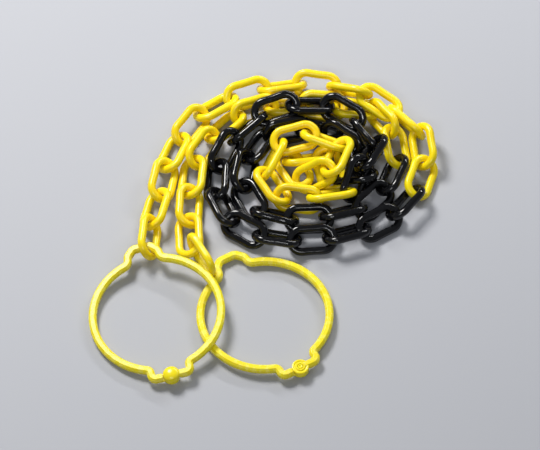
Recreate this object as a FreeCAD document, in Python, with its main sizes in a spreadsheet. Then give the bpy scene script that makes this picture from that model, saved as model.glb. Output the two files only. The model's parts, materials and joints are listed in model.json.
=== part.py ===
"""Folding cone chain: a doubled length of moulded plastic chain coiled flat, with a snap ring on each end.

Millimetres, +Z up, resting on z = 0. The lay of the chain is worked out in three steps: a route is drawn
through a few chosen points, links are strung along it at equal chords, and then they are settled, which
moves each link as a rigid loop until no wire runs through another and every link lies on what is below it.
"""
import FreeCAD, Part
import math
import os
import Sketcher
from FreeCAD import Placement, Rotation, Vector

SIZES = [
    ("link_wire", 8.0, "diameter of the moulded wire of a link"),
    ("link_length", 52.0, "outside length of a link"),
    ("link_width", 31.0, "outside width of a link"),
    ("ring_bore", 120.0, "inside diameter of a snap ring"),
    ("strap", 8.0, "width and height of the ring's eight-sided section"),
    ("strap_flat", 4.0, "flat left on each side of that section"),
    ("ear_reach", 78.0, "ring centre to the middle of the ear's crown"),
    ("ear_crown", 8.5, "half width of the ear's straight crown"),
    ("ear_cheek", 15.5, "half width of the ear at its cheeks"),
    ("ear_drop", 7.5, "height of the slope between crown and cheek"),
    ("ear_bend", 7.0, "bend radius of the strap round the ear"),
    ("ear_foot_angle", 21.0, "where the ear meets the ring, from the ear's middle"),
    ("clasp_reach", 72.0, "ring centre to the middle of the snap button"),
    ("clasp_foot_angle", 23.0, "where the ring steps out to the clasp, from the button"),
    ("clasp_bend", 4.8, "bend radius of the strap at the clasp"),
    ("ear_lead", 6.6, "straight between the ring's curve and the ear's first bend"),
    ("clasp_lead", 6.0, "straight between the ring's curve and the clasp's first bend"),
    ("button_radius", 8.5, "radius of each half of the snap button"),
    ("button_rim", 3.0, "height of the domed half's straight side above the middle plane"),
    ("button_bevel", 0.6, "bevel round the flat half's face"),
    ("strap_end", 1.5, "how far the strap runs into its half of the button"),
    ("button_relief", 9.0, "radius cleared for the other half of the button"),
    ("button_dome", 7.6, "top of the domed half above the ring's middle plane"),
    ("split_gap", 0.1, "each half of the button stops this far from the middle plane"),
    ("stud_radius", 2.6, "radius of the snap stud"),
    ("stud_length", 4.0, "stud's end below the ring's middle plane"),
    ("socket_radius", 2.9, "radius of the hole that the stud snaps into"),
    ("groove_inner", 5.0, "inner radius of the ring sunk in the socket's face"),
    ("groove_outer", 6.2, "outer radius of the ring sunk in the socket's face"),
    ("groove_depth", 0.7, "depth of that sunk ring"),
]
SIZE = {name: value for name, value, _ in SIZES}

# the colours change at these links, counted from the left ring
YELLOW_OUTER, BLACK_OUTER, YELLOW_MIDDLE, BLACK_INNER, YELLOW_INNER = 14, 16, 11, 13, 12

# what the chain passes through, from the left ring's ear inwards along the outer strand
OUTER_STRAND = [
    (-174, -113, 10), (-172, -96, 11), (-164, -60, 11), (-157, -28, 11), (-149, 6, 11), (-131, 36, 11),
    (-110, 62, 13), (-76, 79, 17), (-40, 84, 24), (-3, 86, 26), (32, 78, 24), (68, 66, 18),
    (92, 38, 12), (106, 8, 11), (103, -26, 11), (84, -55, 11), (55, -79, 11), (20, -92, 11),
    (-23, -97, 11), (-64, -91, 11), (-94, -72, 11), (-104, -38, 12), (-106, -5, 15), (-93, 20, 18),
    (-73, 42, 20), (-42, 54, 24), (-8, 57, 25), (25, 51, 24), (49, 33, 23), (61, 6, 23),
]
# through the loose pile in the middle, where the chain is folded back on itself
PILE = [
    (46, -17, 26), (30, -46, 21), (-10, -54, 18), (-44, -48, 18), (-56, -20, 18), (-42, 10, 22),
    (-12, 22, 29), (20, 8, 33), (14, -26, 34), (-18, -28, 25), (-30, -2, 14), (-4, 12, 10), (8, -20, 10),
]
# and out again along the inner strand, to the right ring's ear
INNER_STRAND = [
    (34, -37, 10), (44, -8, 10), (36, 21, 10), (13, 38, 10), (-18, 40, 10), (-48, 30, 11),
    (-70, 8, 13), (-76, -20, 13), (-79, -42, 12), (-60, -64, 11), (-31, -71, 11), (3, -66, 11),
    (37, -62, 11), (66, -36, 11), (84, -5, 11), (79, 26, 11), (60, 52, 10), (30, 64, 9),
    (-6, 68, 9), (-42, 66, 9), (-76, 55, 10), (-102, 34, 11), (-124, 5, 11), (-129, -30, 11),
    (-132, -62, 11), (-130, -90, 11), (-128, -111, 11), (-98, -125, 9),
]
ROLLS = (34.0, -56.0)  # every other link lies flatter, and the next stands up across it
END_ROLLS = (56.0, -64.0)  # the first and last links, which hold the rings' ears

# how each ring lies: centre, turn about +Z, then tilts about its own ear-to-clasp and cross lines
LEFT_RING = {"centre": (-162, -184, 11.4), "turn": 11.8, "bank": -6.2, "nod": 1.9, "flipped": False}
RIGHT_RING = {"centre": (-55, -182, 6.2), "turn": 29.0, "bank": 0.0, "nod": -1.2, "flipped": True}

CLEARANCE = 0.45  # between the wires of two links
RING_CLEARANCE = 0.75  # between a ring and the wire of a link
SETTLE_ROUNDS = 160
QUIET_ROUNDS = 160
HOLD = 0.02  # share of the way back to its drawn place that a link is drawn in each round
ROLL_HOLD = 0.01
SINK = 0.12  # how far a link drops in each round
REGROUP = 15  # rounds between two searches for neighbours
SAMPLES_PER_BEND = 14
SAMPLES_PER_SIDE = 5
SWING = 15.0  # radius that a link turns about as it is pushed
NEIGHBOUR = 1.2  # links this many link lengths apart or less may touch
RING_STEP = 2.5  # between two points along a ring
DOME_SLOPES = 8  # slopes from the dome's rim to its top


def smooth_line(points, divisions=24):
    """A Catmull-Rom curve through the points, as short straight pieces."""
    marks = [Vector(*point) for point in points]
    marks = [marks[0] * 2 - marks[1]] + marks + [marks[-1] * 2 - marks[-2]]
    line = []
    for before, start, end, after in zip(marks, marks[1:], marks[2:], marks[3:]):
        for step in range(divisions):
            part = step / divisions
            line.append((start * 2 + (end - before) * part
                         + (before * 2 - start * 5 + end * 4 - after) * part ** 2
                         + (start * 3 - before - end * 3 + after) * part ** 3) * 0.5)
    line.append(marks[-2])
    return line


def equal_steps(line, count):
    """count + 1 points at equal lengths along the line, from its start to its end."""
    pitch = sum((end - start).Length for start, end in zip(line, line[1:])) / count
    points, gone = [line[0]], 0.0
    for start, end in zip(line, line[1:]):
        piece = (end - start).Length
        while len(points) < count and gone + piece >= pitch * len(points):
            points.append(start + (end - start) * ((pitch * len(points) - gone) / piece))
        gone += piece
    return points + [line[-1]]


class Loop:
    """One link as a rigid loop: its wire's centre line is two straights joined by two half rounds."""

    half_straight = (SIZE["link_length"] - SIZE["link_width"]) / 2
    bend = (SIZE["link_width"] - SIZE["link_wire"]) / 2
    wire = SIZE["link_wire"] / 2

    def __init__(self, start, end, roll):
        along = (end - start).normalize()
        side = Vector(0, 0, 1).cross(along).normalize()
        turn = math.radians(roll)
        across = side * math.cos(turn) + along.cross(side) * math.sin(turn)
        self.placement = Placement((start + end) * 0.5, Rotation(along, across, along.cross(across), "XYZ"))
        self.drawn = Placement(self.placement)

    @classmethod
    def samples(cls):
        """Points spread along the centre line, in the link's own plane."""
        points = []
        for end in (1, -1):
            for step in range(SAMPLES_PER_BEND):
                angle = math.pi * ((step + 0.5) / SAMPLES_PER_BEND - 0.5)
                points.append((end * (cls.half_straight + cls.bend * math.cos(angle)),
                               cls.bend * math.sin(angle)))
            for step in range(SAMPLES_PER_SIDE):
                part = 2 * (step + 0.5) / SAMPLES_PER_SIDE - 1
                points.append((cls.half_straight * part, cls.bend * end))
        return points

    def nearest(self, placement, points):
        """The least distance from this link's centre line to the points that placement carries.

        A point's distance in the link's plane is taken from the middle straight, which lies a bend's
        radius inside the centre line all the way round. Returns the distance, the point, and the way
        from the centre line to it.
        """
        moved = (self.placement.inverse() * placement).Matrix
        least, found = math.inf, None
        for u, v in points:
            high = moved.A31 * u + moved.A32 * v + moved.A34
            if high * high > least:
                continue
            x = moved.A11 * u + moved.A12 * v + moved.A14
            y = moved.A21 * u + moved.A22 * v + moved.A24
            past = x - max(-self.half_straight, min(self.half_straight, x))
            off = math.hypot(past, y) - self.bend
            square = off * off + high * high
            if square < least:
                least, found = square, (u, v, past, y, high, off)
        u, v, past, y, high, off = found
        distance = math.sqrt(least) or 1e-9
        spread = math.hypot(past, y) or 1e-9
        way = self.placement.Rotation.multVec(Vector(off * past / spread, off * y / spread, high))
        return distance, placement.multVec(Vector(u, v, 0)), way * (1 / distance)

    def give(self, point, way):
        """How readily a push along way at point moves the link."""
        return 1 + (point - self.placement.Base).cross(way).Length ** 2 / SWING ** 2

    def push(self, point, move):
        """Moves and turns the link as a push at point would."""
        turn = (point - self.placement.Base).cross(move) * (1 / SWING ** 2)
        rotation = self.placement.Rotation
        if turn.Length > 1e-9:
            rotation = Rotation(turn, math.degrees(turn.Length)) * rotation
        self.placement = Placement(self.placement.Base + move, rotation)

    def part_from(self, other, points):
        """Pushes the two links apart where their wires are too close. Returns how close they were."""
        distance, point, way = other.nearest(self.placement, points)
        short = 2 * self.wire + CLEARANCE - distance
        if short > 0:
            facing = point - way * distance
            share = short / (self.give(point, way) + other.give(facing, way))
            self.push(point, way * share)
            other.push(facing, way * -share)
        return short

    def part_from_ring(self, placement, points):
        """Pushes the link off a ring, which stays where it is."""
        distance, point, way = self.nearest(placement, points)
        short = self.wire + SIZE["strap"] / 2 + RING_CLEARANCE - distance
        if short > 0:
            facing = point - way * distance
            self.push(facing, way * (-short / self.give(facing, way)))
        return short

    def rise_to_floor(self):
        """Lifts the link's lowest point to the surface that the chain lies on."""
        down_u = self.placement.Rotation.multVec(Vector(1, 0, 0)).z
        down_v = self.placement.Rotation.multVec(Vector(0, 1, 0)).z
        slope = math.hypot(down_u, down_v) or 1e-9
        low = self.placement.multVec(Vector(
            -math.copysign(self.half_straight, down_u) - self.bend * down_u / slope,
            -self.bend * down_v / slope, 0))
        if low.z < self.wire:
            self.push(low, Vector(0, 0, (self.wire - low.z) / self.give(low, Vector(0, 0, 1))))

    def drift(self):
        """Sinks the link a little and draws it back towards where it was drawn."""
        back = self.drawn.Base - self.placement.Base
        self.placement = Placement(self.placement.Base + Vector(back.x * HOLD, back.y * HOLD, -SINK),
                                   self.placement.Rotation.slerp(self.drawn.Rotation, ROLL_HOLD))


def settle(links, rings):
    """Lets the links come to rest on the floor and on each other, round the rings, which stay still.

    The last rounds only part the wires.
    """
    points, strap = Loop.samples(), ring_points()
    ends = links[:2] + links[-2:]
    for round_number in range(SETTLE_ROUNDS + QUIET_ROUNDS):
        quiet = round_number >= SETTLE_ROUNDS
        if round_number % REGROUP == 0:
            pairs = [(one, two) for place, one in enumerate(links) for two in links[place + 1:]
                     if (one.placement.Base - two.placement.Base).Length < NEIGHBOUR * SIZE["link_length"]]
        if not quiet:
            for link in links:
                link.drift()
        worst = 0.0
        for one, two in pairs:
            worst = max(worst, one.part_from(two, points), two.part_from(one, points))
        for link in ends:
            for ring in rings:
                worst = max(worst, link.part_from_ring(ring, strap))
        for link in links:
            link.rise_to_floor()
        if quiet and worst < CLEARANCE / 5:
            break


def ring_placement(lay):
    """Where a ring's own frame lies: its centre at the origin, its ear towards +Y, its clasp towards -Y."""
    place = Placement(Vector(*lay["centre"]), Rotation(Vector(0, 0, 1), lay["turn"]))
    place = place * Placement(Vector(), Rotation(Vector(0, 1, 0), lay["bank"] + (180 if lay["flipped"] else 0)))
    return place * Placement(Vector(), Rotation(Vector(1, 0, 0), lay["nod"] * (-1 if lay["flipped"] else 1)))


def arm_corners(hand):
    """The corners of one arm's centre line: up to where the ring's curve starts, and on from where it ends."""
    radius = SIZE["ring_bore"] / 2 + SIZE["strap"] / 2
    crown = SIZE["ear_reach"]
    start_angle = math.radians(SIZE["ear_foot_angle"])
    end_angle = math.radians(SIZE["clasp_foot_angle"])
    start = Vector(math.sin(start_angle), math.cos(start_angle), 0) * radius
    end = Vector(math.sin(end_angle), -math.cos(end_angle), 0) * radius
    into = Vector(math.cos(start_angle), -math.sin(start_angle), 0)
    out = Vector(-math.cos(end_angle), -math.sin(end_angle), 0)
    step = end + out * SIZE["clasp_lead"]
    ear = [Vector(0, crown, 0), Vector(SIZE["ear_crown"], crown, 0),
           Vector(SIZE["ear_cheek"], crown - SIZE["ear_drop"], 0), start - into * SIZE["ear_lead"], start]
    clasp = [end, step, Vector(step.x, -SIZE["clasp_reach"], 0),
             Vector(SIZE["button_radius"] - SIZE["strap_end"], -SIZE["clasp_reach"], 0)]
    return tuple([Vector(hand * point.x, point.y, 0) for point in corners] for corners in (ear, clasp))


def rounded(corners, radius):
    """Straights through the corners, joined by tangent arcs of the radius, as sketch geometry."""
    pieces, at = [], corners[0]
    for before, corner, after in zip(corners, corners[1:], corners[2:]):
        into, out = (corner - before).normalize(), (after - corner).normalize()
        turn = into.getAngle(out)
        reach = radius * math.tan(turn / 2)
        start, end = corner - into * reach, corner + out * reach
        inward = (out - into).normalize()
        middle = corner + inward * (radius / math.cos(turn / 2) - radius)
        pieces.append(Part.LineSegment(at, start))
        pieces.append(Part.Arc(start, middle, end))
        at = end
    pieces.append(Part.LineSegment(at, corners[-1]))
    return pieces


def arm_line(hand):
    """The centre line of one arm, from the ear's crown round the ring to the button."""
    ear, clasp = arm_corners(hand)
    radius = SIZE["ring_bore"] / 2 + SIZE["strap"] / 2
    sweep = Part.Arc(ear[-1], Vector(hand * radius, 0, 0), clasp[0])
    return rounded(ear, SIZE["ear_bend"]) + [sweep] + rounded(clasp, SIZE["clasp_bend"])


def ring_points():
    """Points along both arms' centre lines, in the ring's own plane."""
    points = []
    for hand in (-1, 1):
        for piece in arm_line(hand):
            count = max(2, round(piece.length() / RING_STEP))
            span = piece.LastParameter - piece.FirstParameter
            for step in range(count + 1):
                point = piece.value(piece.FirstParameter + span * step / count)
                points.append((point.x, point.y))
    return points


def origin_plane(body, role):
    """One of a body's own origin planes."""
    return next(feature for feature in body.Origin.OriginFeatures if feature.Role == role)


def new_sketch(body, name, role, offset=Vector()):
    """A sketch on one of the body's own origin planes, moved along that plane by offset."""
    sketch = body.newObject("Sketcher::SketchObject", name)
    sketch.AttachmentSupport = [(origin_plane(body, role), "")]
    sketch.MapMode = "FlatFace"
    sketch.AttachmentOffset = Placement(offset, Rotation())
    return sketch


def bind(sketch, name, expression, constraint):
    """Adds a constraint whose value follows the sheet."""
    place = sketch.addConstraint(constraint)
    sketch.renameConstraint(place, name)
    sketch.setExpression(f"Constraints.{name}", expression)


def closed_outline(sketch, corners):
    """A closed outline of straight sides through the corners."""
    limit = Sketcher.Constraint
    for start, end in zip(corners, corners[1:] + corners[:1]):
        sketch.addGeometry(Part.LineSegment(Vector(*start, 0), Vector(*end, 0)))
    for side in range(len(corners)):
        sketch.addConstraint(limit("Coincident", side, 2, (side + 1) % len(corners), 1))


def moulded_link(document, name):
    """One link: a round wire carried round a closed path of two straights and two half rounds."""
    limit = Sketcher.Constraint
    body = document.addObject("PartDesign::Body", name)
    half, bend = Loop.half_straight, Loop.bend
    path = new_sketch(body, name + "_path", "XY_Plane")
    path.addGeometry([
        Part.LineSegment(Vector(-half, bend, 0), Vector(half, bend, 0)),
        Part.ArcOfCircle(Part.Circle(Vector(half, 0, 0), Vector(0, 0, 1), bend), -math.pi / 2, math.pi / 2),
        Part.LineSegment(Vector(half, -bend, 0), Vector(-half, -bend, 0)),
        Part.ArcOfCircle(Part.Circle(Vector(-half, 0, 0), Vector(0, 0, 1), bend),
                         math.pi / 2, 3 * math.pi / 2),
    ])
    path.addConstraint([limit("Tangent", 0, 2, 1, 2), limit("Tangent", 1, 1, 2, 1),
                        limit("Tangent", 2, 2, 3, 2), limit("Tangent", 3, 1, 0, 1),
                        limit("Horizontal", 0), limit("Symmetric", 1, 3, 3, 3, -1, 1)])
    bind(path, "straight", "Sizes.link_length - Sizes.link_width", limit("DistanceX", 3, 3, 1, 3, 2 * half))
    bind(path, "bend", "(Sizes.link_width - Sizes.link_wire) / 2", limit("Radius", 1, bend))
    section = new_sketch(body, name + "_section", "YZ_Plane")
    section.addGeometry(Part.Circle(Vector(bend, 0, 0), Vector(0, 0, 1), Loop.wire))
    section.addConstraint(limit("PointOnObject", 0, 3, -1))
    bind(section, "wire", "Sizes.link_wire / 2", limit("Radius", 0, Loop.wire))
    bind(section, "bend", "(Sizes.link_width - Sizes.link_wire) / 2", limit("DistanceX", -1, 1, 0, 3, bend))
    wire = body.newObject("PartDesign::AdditivePipe", name + "_wire")
    wire.Profile = section
    wire.Spine = (path, ["Edge1", "Edge2", "Edge3", "Edge4"])
    return body


def strap_path(body, name, hand):
    """The sketch that an arm's strap follows, with its bends bound to the sheet."""
    limit = Sketcher.Constraint
    pieces = arm_line(hand)
    path = new_sketch(body, name + "_path", "XY_Plane")
    path.addGeometry(pieces)
    for place, piece in enumerate(pieces):
        if not hasattr(piece, "Radius"):
            continue
        if abs(piece.Radius - SIZE["ear_bend"]) < 1e-6:
            bind(path, f"ear_bend_{place}", "Sizes.ear_bend", limit("Radius", place, SIZE["ear_bend"]))
        elif abs(piece.Radius - SIZE["clasp_bend"]) < 1e-6:
            bind(path, f"clasp_bend_{place}", "Sizes.clasp_bend", limit("Radius", place, SIZE["clasp_bend"]))
        else:
            bind(path, "ring", "(Sizes.ring_bore + Sizes.strap) / 2", limit("Radius", place, piece.Radius))
    return path, len(pieces)


def ring_arm(document, name, hand, button):
    """One arm of a snap ring: half of the ear, half of the ring, and one half of the button.

    The strap's eight-sided section has a flat towards the ring's centre, so the bore is a true cylinder
    as high as that flat. button holds the (radius, height) corners of the half button, and its sign says
    which side of the ring's middle plane it fills.
    """
    limit = Sketcher.Constraint
    body = document.addObject("PartDesign::Body", name)
    path, pieces = strap_path(body, name, hand)
    half, flat, crown = SIZE["strap"] / 2, SIZE["strap_flat"] / 2, SIZE["ear_reach"]
    section = new_sketch(body, name + "_section", "YZ_Plane")
    closed_outline(section, [(crown + x, y) for x, y in (
        (-half, -flat), (-flat, -half), (flat, -half), (half, -flat),
        (half, flat), (flat, half), (-flat, half), (-half, flat))])
    bind(section, "strap_width", "Sizes.strap", limit("DistanceX", 0, 1, 3, 1, 2 * half))
    bind(section, "strap_height", "Sizes.strap", limit("DistanceY", 1, 1, 5, 1, 2 * half))
    bind(section, "bore_flat", "Sizes.strap_flat", limit("DistanceY", 0, 1, 7, 1, 2 * flat))
    strap = body.newObject("PartDesign::AdditivePipe", name + "_strap")
    strap.Profile = section
    strap.Spine = (path, [f"Edge{place + 1}" for place in range(pieces)])
    document.recompute()

    side = 1 if button[0][1] > 0 else -1
    middle = Vector(0, 0, SIZE["clasp_reach"])  # the XZ plane's own normal points towards -Y
    relief = new_sketch(body, name + "_relief", "XZ_Plane", middle)
    gap, reach = side * SIZE["split_gap"], -side * SIZE["strap"]
    closed_outline(relief, [(0, gap), (SIZE["button_relief"], gap), (SIZE["button_relief"], reach), (0, reach)])
    bind(relief, "relief", "Sizes.button_relief", limit("DistanceX", 0, 1, 0, 2, SIZE["button_relief"]))
    cleared = body.newObject("PartDesign::Groove", name + "_cleared")
    cleared.Profile = relief
    cleared.ReferenceAxis = (relief, ["V_Axis"])
    cleared.Angle = 360
    document.recompute()

    outline = new_sketch(body, name + "_button", "XZ_Plane", middle)
    closed_outline(outline, button)
    snap = body.newObject("PartDesign::Revolution", name + "_snap")
    snap.Profile = outline
    snap.ReferenceAxis = (outline, ["V_Axis"])
    snap.Angle = 360
    return body


def stud_button():
    """The domed half with its stud, above the middle plane; the dome is a run of short slopes."""
    rim, top = SIZE["button_rim"], SIZE["button_dome"]
    edge, gap, stud = SIZE["button_radius"], SIZE["split_gap"], SIZE["stud_radius"]
    dome = [(edge * math.cos(angle), rim + (top - rim) * math.sin(angle))
            for angle in (math.pi / 2 * step / DOME_SLOPES for step in range(DOME_SLOPES))]
    return [(edge, gap)] + dome + [(0, top), (0, -SIZE["stud_length"]), (stud, -SIZE["stud_length"]),
                                   (stud, gap)]


def socket_button():
    """The flat half with the stud's hole and a ring sunk in its face, below the middle plane."""
    face, gap, edge = -SIZE["strap"] / 2, -SIZE["split_gap"], SIZE["button_radius"]
    bevel = SIZE["button_bevel"]
    sunk = face + SIZE["groove_depth"]
    return [(SIZE["socket_radius"], gap), (SIZE["socket_radius"], face), (SIZE["groove_inner"], face),
            (SIZE["groove_inner"], sunk), (SIZE["groove_outer"], sunk), (SIZE["groove_outer"], face),
            (edge - bevel, face), (edge, face + bevel), (edge, gap)]


def fill_sheet(document):
    """The driving dimensions, one to a row: name, value, what it measures."""
    sheet = document.addObject("Spreadsheet::Sheet", "Sizes")
    for row, (name, value, meaning) in enumerate(SIZES, 1):
        sheet.set(f"A{row}", name)
        sheet.set(f"B{row}", str(value))
        sheet.set(f"C{row}", meaning)
        sheet.setAlias(f"B{row}", name)
    document.recompute()


def lay_chain(rings):
    """The settled links in order, from the left ring to the right ring."""
    count = YELLOW_OUTER + BLACK_OUTER + YELLOW_MIDDLE + BLACK_INNER + YELLOW_INNER
    joints = equal_steps(smooth_line(OUTER_STRAND + PILE + INNER_STRAND), count)
    rolls = [END_ROLLS[0]] + [ROLLS[place % 2] for place in range(1, count - 1)] + [END_ROLLS[1]]
    links = [Loop(start, end, roll) for start, end, roll in zip(joints, joints[1:], rolls)]
    settle(links, rings)
    return links


def link_names():
    """The name of each link in order. The links of the middle pile share one."""
    names = [f"yellow_link_{place + 1:02d}" for place in range(YELLOW_OUTER)]
    names += [f"black_link_{place + 1:02d}" for place in range(BLACK_OUTER)]
    names += ["middle_links"] * YELLOW_MIDDLE
    names += [f"black_link_{BLACK_OUTER + place + 1:02d}" for place in range(BLACK_INNER)]
    names += [f"yellow_link_{YELLOW_OUTER + place + 1:02d}" for place in range(YELLOW_INNER)]
    return names


def check(document):
    """Stops if any object failed to compute or any body has no valid solid."""
    for item in document.Objects:
        if "Invalid" in item.State or "Error" in item.State:
            raise RuntimeError(f"{item.Name} failed: {item.State}")
        if item.TypeId == "PartDesign::Body" and (item.Shape.isNull() or not item.Shape.isValid()):
            raise RuntimeError(f"{item.Name} has no valid solid")


def main():
    document = FreeCAD.newDocument("ConeChain")
    fill_sheet(document)
    rings = [ring_placement(LEFT_RING), ring_placement(RIGHT_RING)]
    links = lay_chain(rings)

    groups = {}
    for place, (name, link) in enumerate(zip(link_names(), links)):
        body = moulded_link(document, name if name != "middle_links" else f"middle_link_{place + 1}")
        body.Placement = link.placement
        groups.setdefault(name, []).append(body)
    for side, placement in zip(("left", "right"), rings):
        for kind, hand, button in (("stud", 1, stud_button()), ("socket", -1, socket_button())):
            body = ring_arm(document, f"{side}_ring_{kind}_arm", hand, button)
            body.Placement = placement
            groups[body.Name] = [body]
    document.recompute()
    check(document)

    box = FreeCAD.BoundBox()
    for bodies in groups.values():
        for body in bodies:
            box.add(body.Shape.optimalBoundingBox(False, False))
    home = Vector(-box.Center.x, -box.Center.y, -box.ZMin)
    os.makedirs("parts", exist_ok=True)
    for name, bodies in groups.items():
        for body in bodies:
            body.Placement = Placement(home, Rotation()) * body.Placement
            body.Label = name if len(bodies) == 1 else body.Label
        document.recompute()
        solids = [body.Shape for body in bodies]
        shape = solids[0] if len(solids) == 1 else Part.makeCompound(solids)
        shape.exportStep(f"parts/{name}.step")
    print("size", [round(v, 1) for v in (box.XLength, box.YLength, box.ZLength)], "home", home)


main()
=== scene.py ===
"""Cone chain with snap rings: moulded yellow and black links and two hinged rings, built over the CAD frame.

Sizes are in millimetres where a field says so, and everything is put into Blender in metres.
"""
import json
import logging
import math
from dataclasses import dataclass, field, replace
from enum import Enum

import bpy
import numpy as np
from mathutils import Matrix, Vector

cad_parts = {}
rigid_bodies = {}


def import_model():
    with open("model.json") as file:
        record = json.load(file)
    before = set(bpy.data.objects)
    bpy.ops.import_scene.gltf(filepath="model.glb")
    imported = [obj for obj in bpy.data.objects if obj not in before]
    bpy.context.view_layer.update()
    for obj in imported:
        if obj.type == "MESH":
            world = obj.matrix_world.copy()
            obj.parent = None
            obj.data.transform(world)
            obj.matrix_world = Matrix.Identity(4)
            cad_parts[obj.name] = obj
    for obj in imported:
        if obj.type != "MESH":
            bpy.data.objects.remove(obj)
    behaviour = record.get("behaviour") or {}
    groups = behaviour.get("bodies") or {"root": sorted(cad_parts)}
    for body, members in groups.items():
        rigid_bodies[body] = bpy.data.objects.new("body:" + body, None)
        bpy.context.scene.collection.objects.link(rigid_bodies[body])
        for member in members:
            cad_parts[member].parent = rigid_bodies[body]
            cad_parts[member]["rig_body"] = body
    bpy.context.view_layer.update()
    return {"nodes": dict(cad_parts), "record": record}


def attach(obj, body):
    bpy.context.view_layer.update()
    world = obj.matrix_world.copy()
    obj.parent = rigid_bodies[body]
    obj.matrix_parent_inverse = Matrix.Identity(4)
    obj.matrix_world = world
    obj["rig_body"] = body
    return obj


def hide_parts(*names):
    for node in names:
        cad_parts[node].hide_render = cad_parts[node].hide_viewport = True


MM = 0.001
SEED = 20
UPRIGHT = np.eye(3)
SAME_PLACE = 1e-6  # millimetres: points of a line that are closer than this are one point
WELDS_PER_MM = 1000  # corners of a CAD mesh that share a place to this fineness are one corner
SHARP_FROM = 38.0  # degrees between two faces from which their edge is sharp
PLASTIC_IOR = 1.5
GLOW_DEPTH = 2.5  # millimetres that light travels inside the plastic
GLOW_REACH = (1.0, 0.55, 0.12)  # how much of that red, green and blue light travel
Colour = tuple[float, float, float]
LOG = logging.getLogger("cone_chain")


class Plastic(Enum):
    """The three plastics on the object, by the name of their material."""

    CHAIN_YELLOW = "chain_yellow"
    CHAIN_BLACK = "chain_black"
    RING_YELLOW = "ring_yellow"


# ---------------------------------------------------------------- surfaces


@dataclass
class Shell:
    """A closed surface in millimetres: points, faces of three or four corners, and what its finish reads.

    Args:
        points: one row of x, y, z per vertex.
        quads: four vertex numbers per face.
        triangles: three vertex numbers per face, where a surface closes on a pole.
        quad_map: the map coordinates of each quad's corners, in millimetres along and round the piece.
        triangle_map: the same for the triangles.
        wear: for each vertex, how much it is rubbed, from 0 to 1.
        tone: for each vertex, how its batch of plastic differs, from -1 to 1.
    """

    points: np.ndarray
    quads: np.ndarray
    triangles: np.ndarray
    quad_map: np.ndarray
    triangle_map: np.ndarray
    wear: np.ndarray
    tone: np.ndarray

    def volume(self) -> float:
        """The volume that the surface holds; it is below zero if the faces point inwards."""
        halves = [self.quads[:, [0, 1, 2]], self.quads[:, [0, 2, 3]], self.triangles]
        corners = self.points[np.concatenate(halves)]
        return float(np.einsum("ij,ij->i", corners[:, 0], np.cross(corners[:, 1], corners[:, 2])).sum() / 6)

    def outward(self) -> "Shell":
        """The same surface with its faces turned to point outwards."""
        if self.volume() >= 0:
            return self
        return replace(self, quads=self.quads[:, ::-1], triangles=self.triangles[:, ::-1],
                       quad_map=self.quad_map[:, ::-1], triangle_map=self.triangle_map[:, ::-1])

    def placed(self, axes: np.ndarray, origin: np.ndarray) -> "Shell":
        """The surface carried into another frame.

        Args:
            axes: the frame's three unit axes as rows.
            origin: the frame's origin, in millimetres.

        Returns:
            The surface there, facing outwards: each point is origin + x axis0 + y axis1 + z axis2.
        """
        return replace(self, points=self.points @ axes + origin).outward()

    @staticmethod
    def joined(shells: list["Shell"]) -> "Shell":
        """Several surfaces as one, with the vertex numbers moved on past those before."""
        starts = np.cumsum([0] + [len(shell.points) for shell in shells[:-1]])
        return Shell(
            np.concatenate([s.points for s in shells]),
            np.concatenate([s.quads + start for s, start in zip(shells, starts)]),
            np.concatenate([s.triangles + start for s, start in zip(shells, starts)]),
            np.concatenate([s.quad_map for s in shells]),
            np.concatenate([s.triangle_map for s in shells]),
            np.concatenate([s.wear for s in shells]),
            np.concatenate([s.tone for s in shells]),
        )


def distances(points: np.ndarray) -> np.ndarray:
    """How far along a closed loop of points each one lies, with one more entry for the full turn."""
    gaps = np.linalg.norm(np.diff(np.concatenate([points, points[:1]]), axis=0), axis=1)
    return np.concatenate([[0], np.cumsum(gaps)])


def grid_shell(rings: np.ndarray, along: np.ndarray, around: np.ndarray, wear: np.ndarray,
               closed: bool) -> Shell:
    """Skins a grid of rings: ring i joins ring i + 1, and the last point of a ring joins its first.

    Args:
        rings: points as (rings, points round a ring, 3).
        along: how far along the piece each ring lies, with one more entry at the end if closed.
        around: how far round each point lies, with one more entry at the end for the seam.
        wear: (rings, points round a ring), how rubbed each point is.
        closed: whether the last ring joins the first one. If it doesn't, each end closes on a pole in the
            middle of its ring.

    Returns:
        The surface, facing outwards.
    """
    rows, cols = rings.shape[:2]
    i, j = np.meshgrid(np.arange(rows if closed else rows - 1), np.arange(cols), indexing="ij")
    i, j = i.ravel(), j.ravel()
    after, beside = (i + 1) % rows, (j + 1) % cols
    quads = np.stack([i * cols + j, i * cols + beside, after * cols + beside, after * cols + j], 1)
    corners = [(i, j), (i, j + 1), (i + 1, j + 1), (i + 1, j)]
    quad_map = np.stack([np.stack([along[row], around[col]], 1) for row, col in corners], 1)
    points, rubbed = rings.reshape(-1, 3), wear.ravel()
    triangles, triangle_map = np.zeros((0, 3), int), np.zeros((0, 3, 2))
    if not closed:
        points = np.concatenate([points, rings[:1].mean(1), rings[-1:].mean(1)])
        rubbed = np.concatenate([rubbed, [0.0, 0.0]])
        j = np.arange(cols)
        beside = (j + 1) % cols
        first, last = rows * cols, (rows - 1) * cols
        triangles = np.concatenate([np.stack([np.full(cols, first), beside, j], 1),
                                    np.stack([np.full(cols, first + 1), last + j, last + beside], 1)])
        sides = [(along[0], j + 1, j), (along[rows - 1], j, j + 1)]
        triangle_map = np.concatenate([
            np.stack([np.stack([np.full(cols, at), (around[one] + around[two]) / 2], 1),
                      np.stack([np.full(cols, at), around[one]], 1),
                      np.stack([np.full(cols, at), around[two]], 1)], 1) for at, one, two in sides])
    shell = Shell(points, quads, triangles, quad_map, triangle_map, rubbed, np.zeros(len(points)))
    return shell.outward()


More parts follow.
